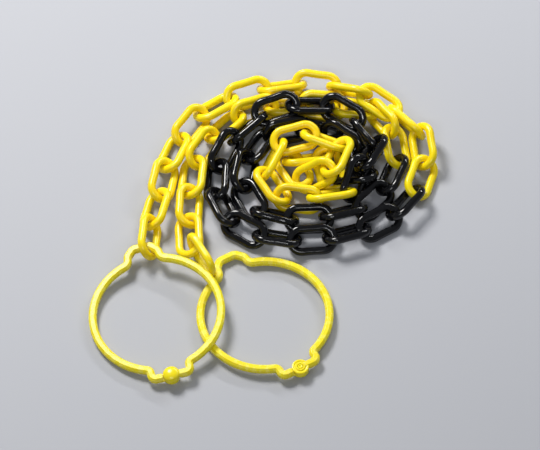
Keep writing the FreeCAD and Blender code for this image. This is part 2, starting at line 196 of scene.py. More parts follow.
def turned_shell(profile: np.ndarray, centre: np.ndarray, axes: np.ndarray, steps: int = 56) -> Shell:
    """A turned shape: the profile's (radius, height) points swept once round an axis.

    A point is centre + radius (cos t axis0 + sin t axis1) + height axis2, with t once round. A profile whose
    ends lie on the axis closes on two poles; any other profile is itself a closed loop.

    Args:
        profile: the (radius, height) points, in millimetres.
        centre: the point that heights are measured from.
        axes: three unit axes as rows, the last one the axis of the turning.
        steps: points round the axis.

    Returns:
        The surface, facing outwards.
    """
    angle = np.arange(steps) * (2 * math.pi / steps)
    way = np.cos(angle)[:, None] * axes[0] + np.sin(angle)[:, None] * axes[1]
    open_ended = profile[0, 0] == 0
    body = profile[1:-1] if open_ended else profile
    rings = centre + body[:, None, :1] * way + body[:, None, 1:] * axes[2]
    length = distances(body)
    around = np.arange(steps + 1) * (2 * math.pi / steps) * body[:, 0].mean()
    shell = grid_shell(rings, length, around, np.zeros(rings.shape[:2]), closed=not open_ended)
    if open_ended:
        shell.points[-2:] = centre + profile[[0, -1], 1:] * axes[2]
    return shell


# ---------------------------------------------------------------- finishes


class Wiring:
    """Short calls that add nodes to one node tree and join them.

    Args:
        tree: the material's or group's node tree.
    """

    def __init__(self, tree: bpy.types.NodeTree) -> None:
        self.tree = tree

    def add(self, kind: str, values: dict | None = None, **settings: object) -> bpy.types.Node:
        """Adds a node.

        Args:
            kind: the node's type after "ShaderNode".
            values: values or sockets for its inputs, by name or number.
            settings: values for its own properties.

        Returns:
            The node.
        """
        node = self.tree.nodes.new("ShaderNode" + kind)
        for name, value in settings.items():
            setattr(node, name, value)
        for name, value in (values or {}).items():
            self.feed(node.inputs[name], value)
        return node

    def feed(self, socket: bpy.types.NodeSocket, value: object) -> None:
        """Gives an input a value, or joins another node's output to it."""
        if isinstance(value, bpy.types.NodeSocket):
            self.tree.links.new(value, socket)
        else:
            socket.default_value = value

    def group(self, tree: bpy.types.NodeTree, values: dict) -> bpy.types.NodeOutputs:
        """The outputs of a shared group, placed here with its own values or sockets by input name."""
        node = self.tree.nodes.new("ShaderNodeGroup")
        node.node_tree = tree
        for name, value in values.items():
            self.feed(node.inputs[name], value)
        return node.outputs

    def sum(self, operation: str, one: object, two: object) -> bpy.types.NodeSocket:
        """The result of one sum on two numbers or sockets."""
        return self.add("Math", {0: one, 1: two}, operation=operation).outputs[0]

    def ramp(self, value: object, low: float, high: float) -> bpy.types.NodeSocket:
        """A value spread so that low becomes 0 and high becomes 1, and held there past them."""
        return self.add("MapRange", {"Value": value, "From Min": low, "From Max": high},
                        interpolation_type="SMOOTHSTEP").outputs[0]

    def noise(self, place: object, scale: float, detail: float = 2.0) -> bpy.types.NodeSocket:
        """Smooth noise at a place, scale being its lumps per unit of length."""
        return self.add("TexNoise", {"Vector": place, "Scale": scale, "Detail": detail}).outputs["Fac"]

    def mix(self, share: object, one: object, two: object) -> bpy.types.NodeSocket:
        """A colour between two colours."""
        node = self.add("Mix", data_type="RGBA")
        for number, value in ((0, share), (6, one), (7, two)):
            self.feed(node.inputs[number], value)
        return node.outputs[2]


class Effects:
    """The shader groups that all three plastics share. Each is built once.

    A scale is a noise's lumps per metre. A pair of limits is where a noise starts and stops showing.
    """

    RIPPLE_SCALE, TOOTH_SCALE = 430.0, 3600.0
    HAIR_TILT, HAIR_TURNS, HAIR_SCALES = (0.3, 0.2), (0.4, 2.1), (1900.0, 1500.0)
    HAIR_LENGTHS, HAIR_LIMITS, HAIR_STRENGTH = (55.0, 210.0), (0.70, 0.76), 0.6
    AREA_SCALE, AREA_LIMITS = 60.0, (0.42, 0.62)
    PATCH_SCALE, PATCH_LIMITS = 190.0, (0.46, 0.66)
    SPECK_SCALE, SPECK_LIMITS = 520.0, (0.13, 0.07)
    DUST_SCALE, DUST_LIMITS = 140.0, (0.60, 0.72)
    CLOUD_SCALE, CLOUD_LIMITS = 34.0, (0.35, 0.70)
    CLOUD_SHARE, STREAK_SHARE, TONE_SHARE = 0.5, 0.3, 0.25
    LINE_STRETCH, STREAK_STRETCH, STREAK_LIMITS = (0.05, 3.2, 1.0), (0.03, 0.5, 1.0), (0.4, 0.65)

    def __init__(self) -> None:
        self.skin = self._skin()
        self.marks = self._marks()
        self.drift = self._drift()
        self.draw = self._draw()

    @staticmethod
    def _group(name: str, inputs: dict[str, str], outputs: dict[str, str]) -> tuple:
        """A new group with named sockets.

        Args:
            name: the group's name.
            inputs: socket type by input name.
            outputs: socket type by output name.

        Returns:
            The group, its wiring, its inputs' sockets by name, and the node that takes its outputs.
        """
        group = bpy.data.node_groups.new(name, "ShaderNodeTree")
        for direction, sockets in (("INPUT", inputs), ("OUTPUT", outputs)):
            for label, kind in sockets.items():
                group.interface.new_socket(name=label, in_out=direction, socket_type="NodeSocket" + kind)
        given = group.nodes.new("NodeGroupInput").outputs
        result = group.nodes.new("NodeGroupOutput").inputs
        return group, Wiring(group), given, result

    def _skin(self) -> bpy.types.NodeTree:
        """The moulded skin's relief: a soft ripple, millimetres long, and a fine tooth from the steel."""
        group, wire, given, result = self._group(
            "moulded_skin", {"Ripple": "Float", "Tooth": "Float"}, {"Height": "Float"})
        place = wire.add("TexCoord").outputs["Object"]
        ripple = wire.sum("MULTIPLY", wire.noise(place, self.RIPPLE_SCALE, 1.0), given["Ripple"])
        tooth = wire.sum("MULTIPLY", wire.noise(place, self.TOOTH_SCALE, 2.0), given["Tooth"])
        group.links.new(wire.sum("ADD", ripple, tooth), result["Height"])
        return group

    def _marks(self) -> bpy.types.NodeTree:
        """Use marks: hairlines in two directions, rubbed patches where the wear is, and specks of dust."""
        group, wire, given, result = self._group(
            "use_marks", {"Wear": "Float", "Amount": "Float"}, {"Rubbed": "Float", "Dust": "Float"})
        place = wire.add("TexCoord").outputs["Object"]
        lines = []
        for turn, fine in zip(self.HAIR_TURNS, self.HAIR_SCALES):
            turned = wire.add("Mapping", {"Vector": place, "Rotation": (*self.HAIR_TILT, turn),
                                          "Scale": (fine, *self.HAIR_LENGTHS)}).outputs[0]
            lines.append(wire.ramp(wire.noise(turned, 1.0, 0.0), *self.HAIR_LIMITS))
        areas = wire.ramp(wire.noise(place, self.AREA_SCALE), *self.AREA_LIMITS)
        hairs = wire.sum("MULTIPLY", wire.sum("MAXIMUM", *lines), areas)
        rubs = wire.ramp(wire.noise(place, self.PATCH_SCALE, 4.0), *self.PATCH_LIMITS)
        patches = wire.sum("MULTIPLY", rubs, given["Wear"])
        both = wire.sum("MAXIMUM", wire.sum("MULTIPLY", hairs, self.HAIR_STRENGTH), patches)
        group.links.new(wire.sum("MULTIPLY", both, given["Amount"]), result["Rubbed"])
        speck = wire.add("TexVoronoi", {"Vector": place, "Scale": self.SPECK_SCALE, "Randomness": 1.0})
        small = wire.ramp(speck.outputs["Distance"], *self.SPECK_LIMITS)
        few = wire.ramp(wire.noise(place, self.DUST_SCALE, 3.0), *self.DUST_LIMITS)
        dust = wire.sum("MULTIPLY", wire.sum("MULTIPLY", small, few), given["Amount"])
        group.links.new(dust, result["Dust"])
        return group

    def _drift(self) -> bpy.types.NodeTree:
        """Colour drift: the pigment gathers in soft clouds and streaks, and each batch differs a little."""
        group, wire, given, result = self._group(
            "pigment_drift", {"Body": "Color", "Deep": "Color", "Streaks": "Float", "Tone": "Float"},
            {"Colour": "Color"})
        place = wire.add("TexCoord").outputs["Object"]
        clouds = wire.ramp(wire.noise(place, self.CLOUD_SCALE, 3.0), *self.CLOUD_LIMITS)
        share = wire.sum("ADD", wire.sum("MULTIPLY", clouds, self.CLOUD_SHARE),
                         wire.sum("MULTIPLY", given["Streaks"], self.STREAK_SHARE))
        batch = wire.sum("MULTIPLY", given["Tone"], self.TONE_SHARE)
        share = wire.add("Math", {0: share, 1: batch}, operation="ADD", use_clamp=True).outputs[0]
        group.links.new(wire.mix(share, given["Body"], given["Deep"]), result["Colour"])
        return group

    def _draw(self) -> bpy.types.NodeTree:
        """Draw lines that the mould's polishing leaves along the wire, from the piece's own map."""
        group, wire, given, result = self._group(
            "draw_lines", {"Depth": "Float"}, {"Height": "Float", "Streaks": "Float"})
        chart = wire.add("UVMap", uv_map="along_and_round").outputs[0]
        fine = wire.add("Mapping", {"Vector": chart, "Scale": self.LINE_STRETCH}).outputs[0]
        broad = wire.add("Mapping", {"Vector": chart, "Scale": self.STREAK_STRETCH}).outputs[0]
        lines = wire.noise(fine, 1.0, 2.0)
        group.links.new(wire.sum("MULTIPLY", lines, given["Depth"]), result["Height"])
        group.links.new(wire.ramp(wire.noise(broad, 1.0, 2.0), *self.STREAK_LIMITS), result["Streaks"])
        return group


@dataclass(frozen=True)
class Moulding:
    """One coloured plastic as it comes from the mould and after some use.

    Args:
        plastic: which plastic it is.
        body: its colour.
        deep: the colour that its pigment gathers to.
        rubbed: the paler colour of rubbed places.
        dust: the colour of dust on it.
        gloss: roughness of the clean skin.
        worn: roughness where it is rubbed.
        ripple, tooth, lines: height of the skin's ripple, its fine tooth and its draw lines, in millimetres.
        use: how much it is marked by use, from 0 to 1.
        glow: how much light goes into the plastic and comes back out.
        slot: the record's name for the finish; not used.
    """

    plastic: Plastic
    body: Colour
    deep: Colour
    rubbed: Colour
    dust: Colour
    gloss: float
    worn: float
    ripple: float
    tooth: float
    lines: float
    use: float
    glow: float
    slot: str

    def material(self, effects: Effects) -> bpy.types.Material:
        """Builds the material.

        Args:
            effects: the shared shader groups.

        Returns:
            The material, named for its plastic.
        """
        made = bpy.data.materials.new(self.plastic.value)
        made.use_nodes = True
        tree = made.node_tree
        wire = Wiring(tree)
        shader = tree.nodes["Principled BSDF"]
        wear = wire.add("Attribute", attribute_name="wear").outputs["Fac"]
        tone = wire.add("Attribute", attribute_name="tone").outputs["Fac"]
        skin = wire.group(effects.skin, {"Ripple": self.ripple, "Tooth": self.tooth})
        marks = wire.group(effects.marks, {"Wear": wear, "Amount": self.use})
        draw = wire.group(effects.draw, {"Depth": self.lines})
        drift = wire.group(effects.drift, {"Body": (*self.body, 1.0), "Deep": (*self.deep, 1.0),
                                           "Streaks": draw["Streaks"], "Tone": tone})
        colour = wire.mix(marks["Rubbed"], drift["Colour"], (*self.rubbed, 1.0))
        colour = wire.mix(marks["Dust"], colour, (*self.dust, 1.0))
        tree.links.new(colour, shader.inputs["Base Color"])
        rough = wire.add("MapRange", {"Value": wire.sum("MAXIMUM", marks["Rubbed"], marks["Dust"]),
                                      "To Min": self.gloss, "To Max": self.worn}).outputs[0]
        tree.links.new(rough, shader.inputs["Roughness"])
        height = wire.sum("SUBTRACT", wire.sum("ADD", skin["Height"], draw["Height"]),
                          wire.sum("MULTIPLY", marks["Rubbed"], self.tooth))
        bump = wire.add("Bump", {"Height": height, "Distance": MM, "Strength": 1.0})
        tree.links.new(bump.outputs[0], shader.inputs["Normal"])
        shader.inputs["IOR"].default_value = PLASTIC_IOR
        shader.inputs["Subsurface Weight"].default_value = self.glow
        shader.inputs["Subsurface Radius"].default_value = GLOW_REACH
        shader.inputs["Subsurface Scale"].default_value = GLOW_DEPTH * MM
        made.diffuse_color = (*self.body, 1.0)
        return made


FINISHES = (
    Moulding(Plastic.CHAIN_YELLOW, body=(0.96, 0.77, 0.004), deep=(0.92, 0.62, 0.002),
             rubbed=(0.96, 0.82, 0.12), dust=(0.66, 0.60, 0.42), gloss=0.26, worn=0.46, ripple=0.030,
             tooth=0.0035, lines=0.010, use=0.5, glow=0.10, slot="yellow_moulding"),
    Moulding(Plastic.RING_YELLOW, body=(0.92, 0.80, 0.014), deep=(0.90, 0.70, 0.008),
             rubbed=(0.95, 0.86, 0.18), dust=(0.66, 0.61, 0.44), gloss=0.24, worn=0.45, ripple=0.025,
             tooth=0.0030, lines=0.016, use=0.5, glow=0.10, slot="yellow_moulding"),
    Moulding(Plastic.CHAIN_BLACK, body=(0.0032, 0.0032, 0.0040), deep=(0.0018, 0.0018, 0.0028),
             rubbed=(0.028, 0.028, 0.031), dust=(0.11, 0.105, 0.10), gloss=0.10, worn=0.30, ripple=0.022,
             tooth=0.0018, lines=0.006, use=0.45, glow=0.0, slot="black_moulding"),
)


# ---------------------------------------------------------------- the object's pieces


@dataclass
class Workshop:
    """What every sub-assembly needs to put its pieces into the scene.

    Args:
        nodes: the CAD nodes' objects by name.
        finishes: each plastic's values; not used.
        materials: each plastic's material.
    """

    nodes: dict[str, bpy.types.Object]
    finishes: dict[Plastic, Moulding]
    materials: dict[Plastic, bpy.types.Material]

    def put(self, name: str, shell: Shell, plastic: Plastic, node: str) -> bpy.types.Object:
        """Makes a finished piece of a surface, in place of a CAD node and riding on that node's body.

        Args:
            name: the piece's name.
            shell: its surface in the row frame, in millimetres.
            plastic: what it is moulded from.
            node: the CAD node that it stands for.

        Returns:
            The piece.
        """
        mesh = bpy.data.meshes.new(name)
        faces = shell.quads.tolist() + shell.triangles.tolist()
        mesh.from_pydata((shell.points * MM).tolist(), [], faces)
        chart = mesh.uv_layers.new(name="along_and_round")
        flat = np.concatenate([shell.quad_map.ravel(), shell.triangle_map.ravel()])
        chart.data.foreach_set("uv", flat.astype(np.float32))
        for label, values in (("wear", shell.wear), ("tone", shell.tone)):
            attribute = mesh.attributes.new(label, "FLOAT", "POINT")
            attribute.data.foreach_set("value", values.astype(np.float32))
        mesh.polygons.foreach_set("use_smooth", np.ones(len(mesh.polygons), bool))
        mesh.set_sharp_from_angle(angle=math.radians(SHARP_FROM))
        mesh.materials.append(self.materials[plastic])
        piece = bpy.data.objects.new(name, mesh)
        bpy.context.scene.collection.objects.link(piece)
        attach(piece, self.nodes[node]["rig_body"])
        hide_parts(node)
        LOG.info("%s: %d faces for %s", name, len(mesh.polygons), node)
        return piece


@dataclass
class LinkMould:
    """The mould that every link comes from. Sizes in millimetres.

    Args:
        wire: the wire's thickness between its flattened sides.
        length, width: the link's outside size along its middle line's two ways.
        squareness: power of the section's rounded square; 2 would be a circle.
        flash, flash_width: the fine ridge that the mould's split leaves round the link.
        waist: how much the long sides draw in at their middle as the plastic shrinks.
        edge_wear, edge_width: how rubbed the flash is, and how far above and below it that reaches.
        crowding: how much the section's points crowd towards the flash.
        gate: radius of the nub where the plastic was let in.
        nub: the nub's profile, each point a share of its radius and a height above the wire's top.
        bend_steps, side_steps: rings along each bend and each side.
        round_steps, nub_steps: points round the wire and round the nub.
    """

    wire: float = 7.76
    length: float = 51.76
    width: float = 30.76
    squareness: float = 2.3
    flash: float = 0.08
    flash_width: float = 0.16
    waist: float = 0.18
    edge_wear: float = 0.35
    edge_width: float = 0.5
    crowding: float = 0.42
    gate: float = 1.15
    nub: tuple[tuple[float, float], ...] = (
        (0.0, -0.9), (1.0, -0.9), (1.0, 0.02), (0.93, 0.14), (0.6, 0.17), (0.45, 0.09), (0.0, 0.10))
    bend_steps: int = 28
    side_steps: int = 9
    round_steps: int = 38
    nub_steps: int = 20

    @property
    def bend(self) -> float:
        """Radius of the wire's middle line round an end."""
        return (self.width - self.wire) / 2

    @property
    def half_side(self) -> float:
        """Half the straight length of a side."""
        return (self.length - self.width) / 2

    def middle_line(self) -> tuple[np.ndarray, np.ndarray, np.ndarray]:
        """The wire's middle line in the link's plane: side, bend, side, bend.

        A side is a straight drawn in by waist (1 + cos(pi x / half_side)) / 2, and a bend is a half circle.

        Returns:
            The points, the outward ways, and how far along each lies, with one more for the full turn.
        """
        steps, half = self.bend_steps, self.half_side
        turn = np.linspace(-math.pi / 2, math.pi / 2, steps, endpoint=False)[:, None]
        right = np.concatenate([np.cos(turn), np.sin(turn)], 1)
        left = np.concatenate([np.cos(turn + math.pi), np.sin(turn + math.pi)], 1)
        side = np.linspace(1, -1, self.side_steps, endpoint=False) * half
        drawn = self.bend - self.waist * (1 + np.cos(math.pi * side / half)) / 2
        top = np.stack([side, drawn], 1)
        line = np.concatenate([(half, 0) + self.bend * right, top, (-half, 0) + self.bend * left, -top])
        upward = np.tile([0.0, 1.0], (self.side_steps, 1))
        return line, np.concatenate([right, upward, left, -upward]), distances(line)

    def section(self) -> tuple[np.ndarray, np.ndarray]:
        """The wire's section: a rounded square, with the flash as a bell-shaped ridge on both its edges.

        At angle a the radius is half the wire over (|cos a|^p + |sin a|^p)^(1/p), plus
        flash exp(-(height / flash_width)^2). The angles crowd towards the ridge.

        Returns:
            The points as (outward, upward), and how far round each lies, with one more for the full turn.
        """
        even = np.arange(self.round_steps) * (2 * math.pi / self.round_steps)
        angle = even - self.crowding * np.sin(2 * even)
        p = self.squareness
        radius = self.wire / 2 / (np.abs(np.cos(angle)) ** p + np.abs(np.sin(angle)) ** p) ** (1 / p)
        radius = radius + self.flash * np.exp(-(radius * np.sin(angle) / self.flash_width) ** 2)
        points = np.stack([radius * np.cos(angle), radius * np.sin(angle)], 1)
        return points, distances(points)

    def link(self, gate_at: float, tone: float) -> Shell:
        """One link in its own frame, x along it, y across it, z out of its plane.

        A point of the wire is line + (outward part) outward + (upward part) z. The wear is highest at the
        inner side of the bends, where the next link hangs, and along the flash.

        Args:
            gate_at: where the gate's nub is, from -1 to 1 along one side.
            tone: how its batch of plastic differs, from -1 to 1.

        Returns:
            The wire and its nub as one surface.
        """
        line, outward, along = self.middle_line()
        section, around = self.section()
        flat = line[:, None, :] + section[None, :, :1] * outward[:, None, :]
        height = np.broadcast_to(section[None, :, 1:], flat.shape[:2] + (1,))
        rings = np.concatenate([flat, height], 2)
        in_bend = np.clip((np.abs(rings[..., 0]) - self.half_side) / self.bend, 0, 1)
        inner = np.clip(-section[:, 0] / self.wire * 2, 0, 1)[None, :]
        edge = np.exp(-(section[:, 1] / self.edge_width) ** 2)[None, :] * self.edge_wear
        wire = grid_shell(rings, along, around, np.clip(in_bend * inner + edge, 0, 1), closed=True)
        profile = np.array(self.nub) * (self.gate, 1.0) + (0.0, self.wire / 2)
        foot = np.array([gate_at * self.half_side, self.bend - self.waist, 0.0])
        nub = turned_shell(profile, foot, UPRIGHT, self.nub_steps)
        link = Shell.joined([wire, nub])
        return replace(link, tone=np.full(len(link.points), tone))


@dataclass
class Chain:
    """All the links, each laid where its CAD solid lies.

    Args:
        shop: puts the pieces into the scene.
        mould: the links' sizes.
        gate_span: how far from the middle of a side the gate's nub can be, as a share of half the side.
    """

    shop: Workshop
    mould: LinkMould = field(default_factory=LinkMould)
    gate_span: float = 0.6

    @staticmethod
    def solids(node: bpy.types.Object) -> list[np.ndarray]:
        """The triangles of each separate solid in a CAD node.

        Corners at the same place, to a micrometre, are one. Each corner then takes the lowest number among
        the corners that it shares a triangle with, again and again, until every solid has one number.

        Args:
            node: the CAD node's object.

        Returns:
            For each solid its triangles as (count, 3, 3), in millimetres, ordered from left to right.
        """
        mesh = node.data
        mesh.calc_loop_triangles()
        points = np.zeros(len(mesh.vertices) * 3)
        mesh.vertices.foreach_get("co", points)
        corners = np.zeros(len(mesh.loop_triangles) * 3, int)
        mesh.loop_triangles.foreach_get("vertices", corners)
        points = points.reshape(-1, 3) / MM
        _, same = np.unique(np.round(points * WELDS_PER_MM).astype(np.int64), axis=0, return_inverse=True)
        welded = same.ravel()[corners].reshape(-1, 3)
        label = np.arange(welded.max() + 1)
        while True:
            lowest = label.copy()
            np.minimum.at(lowest, welded.ravel(), np.repeat(label[welded].min(1), 3))
            lowest = lowest[lowest]
            if (lowest == label).all():
                break
            label = lowest
        owner = label[welded[:, 0]]
        found = [points[corners.reshape(-1, 3)[owner == number]] for number in np.unique(owner)]
        return sorted(found, key=lambda solid: solid[..., 0].mean())

    @staticmethod
    def lie(solid: np.ndarray) -> tuple[np.ndarray, np.ndarray]:
        """How a link lies, from its triangles.

        The middle is the mean of the triangles' centres weighted by area, and the axes are the directions
        of most, middle and least spread about it.

        Args:
            solid: its triangles as (count, 3, 3).

        Returns:
            The axes as rows (along, across, out of its plane) and the middle.
        """
        centres = solid.mean(1)
        area = np.linalg.norm(np.cross(solid[:, 1] - solid[:, 0], solid[:, 2] - solid[:, 0]), axis=1)
        middle = (centres * area[:, None]).sum(0) / area.sum()
        off = centres - middle
        _, ways = np.linalg.eigh((off * area[:, None]).T @ off)
        along, across = ways[:, 2], ways[:, 1]
        along = along * np.sign(along[np.argmax(np.abs(along))])
        across = across * np.sign(across[np.argmax(np.abs(across))])
        return np.stack([along, across, np.cross(along, across)]), middle

    def build(self) -> list[bpy.types.Object]:
        """Lays every link, and returns the pieces."""
        chance = np.random.default_rng(SEED)
        pieces = []
        for name in sorted(n for n in self.shop.nodes if "link" in n):
            plastic = Plastic.CHAIN_BLACK if name.startswith("black") else Plastic.CHAIN_YELLOW
            links = []
            for solid in self.solids(self.shop.nodes[name]):
                axes, middle = self.lie(solid)
                spin = chance.choice([-1.0, 1.0], 2)
                axes = axes * np.array([[spin[0]], [spin[1]], [spin[0] * spin[1]]])
                gate_at = chance.uniform(-self.gate_span, self.gate_span)
                links.append(self.mould.link(gate_at, chance.uniform(-1, 1)).placed(axes, middle))
            pieces.append(self.shop.put("moulded_" + name, Shell.joined(links), plastic, name))
        return pieces


class Arm(Enum):
    """A ring's two arms, by which side of its middle the arm is on."""

    STUD = 1
    SOCKET = -1


@dataclass(frozen=True)
class PressButton:
    """The press button at a ring's end. Sizes in millimetres, heights from the ring's middle plane.

    Args:
        radius: of both halves.
        clear: each half stops this far from the middle plane.
        bevel: of the edges where the halves meet.
        rim, rim_lead: height where the dome starts, and of the straight just below it.
        dome, dome_steps: height of the dome above the rim, and points on its arc.
        stud: (radius, height) points of the stud's end, from its sunk middle to its side.
        socket: (radius, height) points of the flat half's face, from the stud's hole over the collar and the
            sunk ring to the outer edge.
    """

    radius: float = 8.5
    clear: float = 0.1
    bevel: float = 0.3
    rim: float = 3.0
    rim_lead: float = 0.4
    dome: float = 4.6
    dome_steps: int = 15
    stud: tuple[tuple[float, float], ...] = (
        (0.0, -3.45), (0.75, -3.5), (0.95, -3.9), (1.2, -4.0), (2.25, -4.0), (2.6, -3.6))
    socket: tuple[tuple[float, float], ...] = (
        (2.9, -3.7), (3.15, -4.0), (4.55, -4.0), (4.8, -3.75), (4.85, -3.0), (6.1, -3.0), (6.2, -3.35),
        (6.4, -3.5), (7.7, -3.5), (8.3, -3.2), (8.5, -2.7))

    def profile(self, arm: Arm) -> np.ndarray:
        """The (radius, height) points of one half: the dome and its stud, or the flat with the hole."""
        inside, edge = self.radius - self.bevel, self.clear + self.bevel
        if arm is Arm.SOCKET:
            return np.array([(self.socket[0][0], -self.clear), *self.socket,
                             (self.radius, -edge), (inside, -self.clear)])
        lift = np.linspace(0, math.pi / 2, self.dome_steps)[1:-1]
        dome = np.stack([self.radius * np.cos(lift), self.rim + self.dome * np.sin(lift)], 1)
        meeting = [(self.stud[-1][0], self.clear), (inside, self.clear), (self.radius, edge),
                   (self.radius, self.rim - self.rim_lead), (self.radius, self.rim)]
        return np.concatenate([self.stud, meeting, dome, [(0.0, self.rim + self.dome)]])


@dataclass
class SnapRing:
    """One snap ring: two arms from the ear's crown round to the press button. Sizes in millimetres.

    Args:
        side: "left" or "right", as in the CAD nodes' names.
        shop: puts the pieces into the scene.
        axes: the ring's own axes as rows: across, towards the ear, and out of its plane on the dome's side.
        centre: the ring's centre.
        bore: radius of the round opening.
        half, flat: half the strap's thickness, and half the width of each of its eight flats.
        soft, flat_lead: radius of the ridges between the flats, and from a ridge to a flat's nearest point.
        flash, flash_half: height and half width of the fine ridge along the outer flat.
        ridge_rise: height above the flats at which a ridge counts as fully rubbed.
        crown, crown_half, cheek, drop: the ear's height above the centre, half its straight crown, half its
            width at the cheeks, and how far the cheeks lie below the crown.
        ear_foot, clasp_foot: where the ring's curve stops, in degrees from its middle line.
        ear_lead, clasp_lead: the straights that follow the curve there.
        ear_bend, clasp_bend: bend radii of the strap's middle line.
        curve_steps, bend_steps: points on the ring's curve and on each bend.
        reach: from the centre to the button's middle.
        button: the press button.
        relief: radius that an arm leaves free for the other half of the button.
        strap_end: how far from the button's middle each arm's strap ends, inside its own half.
        seam: each arm stops this far from the middle of the crown, where the two arms turn on each other.
    """

    side: str
    shop: Workshop
    axes: np.ndarray
    centre: np.ndarray
    bore: float = 60.0
    half: float = 4.0
    flat: float = 2.0
    soft: float = 0.55
    flat_lead: float = 0.14
    flash: float = 0.07
    flash_half: float = 0.16
    ridge_rise: float = 0.4
    crown: float = 78.0
    crown_half: float = 8.5
    cheek: float = 15.5
    drop: float = 7.5
    ear_foot: float = 21.0
    clasp_foot: float = 23.0
    ear_lead: float = 6.6
    clasp_lead: float = 6.0
    ear_bend: float = 7.0
    clasp_bend: float = 4.8
    curve_steps: int = 96
    bend_steps: int = 14
    reach: float = 72.0
    button: PressButton = PressButton()
    relief: float = 9.0
    strap_end: dict[Arm, float] = field(default_factory=lambda: {Arm.STUD: 5.6, Arm.SOCKET: 4.3})
    seam: float = 0.06

    @staticmethod
    def rounded(corners: np.ndarray, radius: float, steps: int) -> np.ndarray:
        """A line through corners whose turns are rounded.

        At a corner that turns by t, the arc starts and ends radius tan(t / 2) away from it, round a centre
        that lies radius / cos(t / 2) from it on the inner side.

        Args:
            corners: the corner points, the first and last ones ends.
            radius: of each arc.
            steps: points on each arc.

        Returns:
            The line's points.
        """
        runs = [corners[:1]]
        for before, corner, after in zip(corners, corners[1:], corners[2:]):
            into = (corner - before) / np.linalg.norm(corner - before)
            out = (after - corner) / np.linalg.norm(after - corner)
            turn = math.acos(float(np.clip(into @ out, -1, 1)))
            inward = (out - into) / np.linalg.norm(out - into)
            middle = corner + inward * radius / math.cos(turn / 2)
            angle = np.linspace(-turn / 2, turn / 2, steps)[:, None]
            onward = (into + out) / np.linalg.norm(into + out)
            runs.append(middle - inward * radius * np.cos(angle) + onward * radius * np.sin(angle))
        return np.concatenate(runs + [corners[-1:]])

    def strap_line(self) -> np.ndarray:
        """The middle line of the arm on the right-hand side, from the crown's seam to the button."""
        radius = self.bore + self.half
        foot, step_out = math.radians(self.ear_foot), math.radians(self.clasp_foot)
        start = radius * np.array([math.sin(foot), math.cos(foot)])
        end = radius * np.array([math.sin(step_out), -math.cos(step_out)])
        away = np.array([math.cos(foot), -math.sin(foot)])
        back = np.array([-math.cos(step_out), -math.sin(step_out)])
        step = end + back * self.clasp_lead
        ear = np.array([(self.seam, self.crown), (self.crown_half, self.crown),
                        (self.cheek, self.crown - self.drop), start - away * self.ear_lead, start])
        clasp = np.array([end, step, (step[0], -self.reach), (self.relief, -self.reach)])
        sweep = np.linspace(math.pi / 2 - foot, step_out - math.pi / 2, self.curve_steps)[1:-1, None]
        curve = radius * np.concatenate([np.cos(sweep), np.sin(sweep)], 1)
        return np.concatenate([self.rounded(ear, self.ear_bend, self.bend_steps), curve,
                               self.rounded(clasp, self.clasp_bend, self.bend_steps)])

    def strap_section(self) -> np.ndarray:
        """The strap's section as (outward, upward) points: an octagon whose ridges are short arcs.

        Each ridge is an arc of the soft radius over 45 degrees, with a point just before and just after it
        that keeps the flats flat. A fine flash runs along the middle of the outer flat.
        """
        ridge = math.radians(22.5)
        spread = np.linspace(-ridge, ridge, 4)
        inset = self.soft / math.cos(ridge)
        points = []
        for number in range(8):
            way = math.pi / 4 * number + ridge
            corner = np.array([self.half, self.flat][::-1 if number % 2 else 1])
            quarter = number // 2 * math.pi / 2
            cos, sin = math.cos(quarter), math.sin(quarter)
            turn = np.array([[cos, sin], [-sin, cos]])
            middle = corner @ turn - inset * np.array([math.cos(way), math.sin(way)])
            arc = middle + self.soft * np.stack([np.cos(way + spread), np.sin(way + spread)], 1)
            tangents = np.array([(math.sin(way - ridge), -math.cos(way - ridge)),
                                 (-math.sin(way + ridge), math.cos(way + ridge))])
            before, after = self.flat_lead * tangents
            points.append(np.concatenate([[arc[0] + before], arc, [arc[-1] + after]]))
        flash = np.array([(self.half, -self.flash_half), (self.half + self.flash, 0.0),
                          (self.half, self.flash_half)])
        return np.concatenate(points + [flash])

    def strap(self, arm: Arm) -> Shell:
        """One arm's strap in the ring's frame.

        A point is line + (outward part) normal + (upward part) z, the normal being a quarter turn from the
        line's direction. Past the relief radius the strap keeps only its own arm's side of the middle plane.

        Args:
            arm: which arm.

        Returns:
            The strap, closed at both ends.
        """
        line = self.strap_line()
        gaps = np.linalg.norm(np.diff(line, axis=0), axis=1)
        line = line[np.concatenate([[True], gaps > SAME_PLACE])]
        way = np.gradient(line, axis=0)
        way[0], way[-1] = (1.0, 0.0), (-1.0, 0.0)
        way /= np.linalg.norm(way, axis=1)[:, None]
        line = np.concatenate([line, line[-1:], [(self.strap_end[arm], -self.reach)]])
        way = np.concatenate([way, way[-1:], way[-1:]])
        normal = np.stack([-way[:, 1], way[:, 0]], 1)
        section = self.strap_section()
        flat = line[:, None, :] + section[None, :, :1] * normal[:, None, :]
        height = np.repeat(section[None, :, 1], len(line), 0)
        height[-2:] = np.maximum(height[-2:] * arm.value, self.button.clear) * arm.value
        rings = np.concatenate([flat * np.array([arm.value, 1.0]), height[..., None]], 2)
        along = np.concatenate([[0], np.cumsum(np.linalg.norm(np.diff(line, axis=0), axis=1))])
        ridges = np.clip((np.hypot(*section.T) - self.half) / self.ridge_rise, 0, 1)[None, :]
        return grid_shell(rings, along, distances(section), np.repeat(ridges, len(line), 0), closed=False)

    def build(self) -> list[bpy.types.Object]:
        """Makes both arms, and returns the pieces."""
        pieces = []
        for arm in Arm:
            kind = arm.name.lower()
            button = turned_shell(self.button.profile(arm), np.array([0.0, -self.reach, 0.0]), UPRIGHT)
            shell = Shell.joined([self.strap(arm), button]).placed(self.axes, self.centre)
            node = f"{self.side}_ring_{kind}_arm"
            pieces.append(self.shop.put(f"{self.side}_{kind}_arm", shell, Plastic.RING_YELLOW, node))
        return pieces

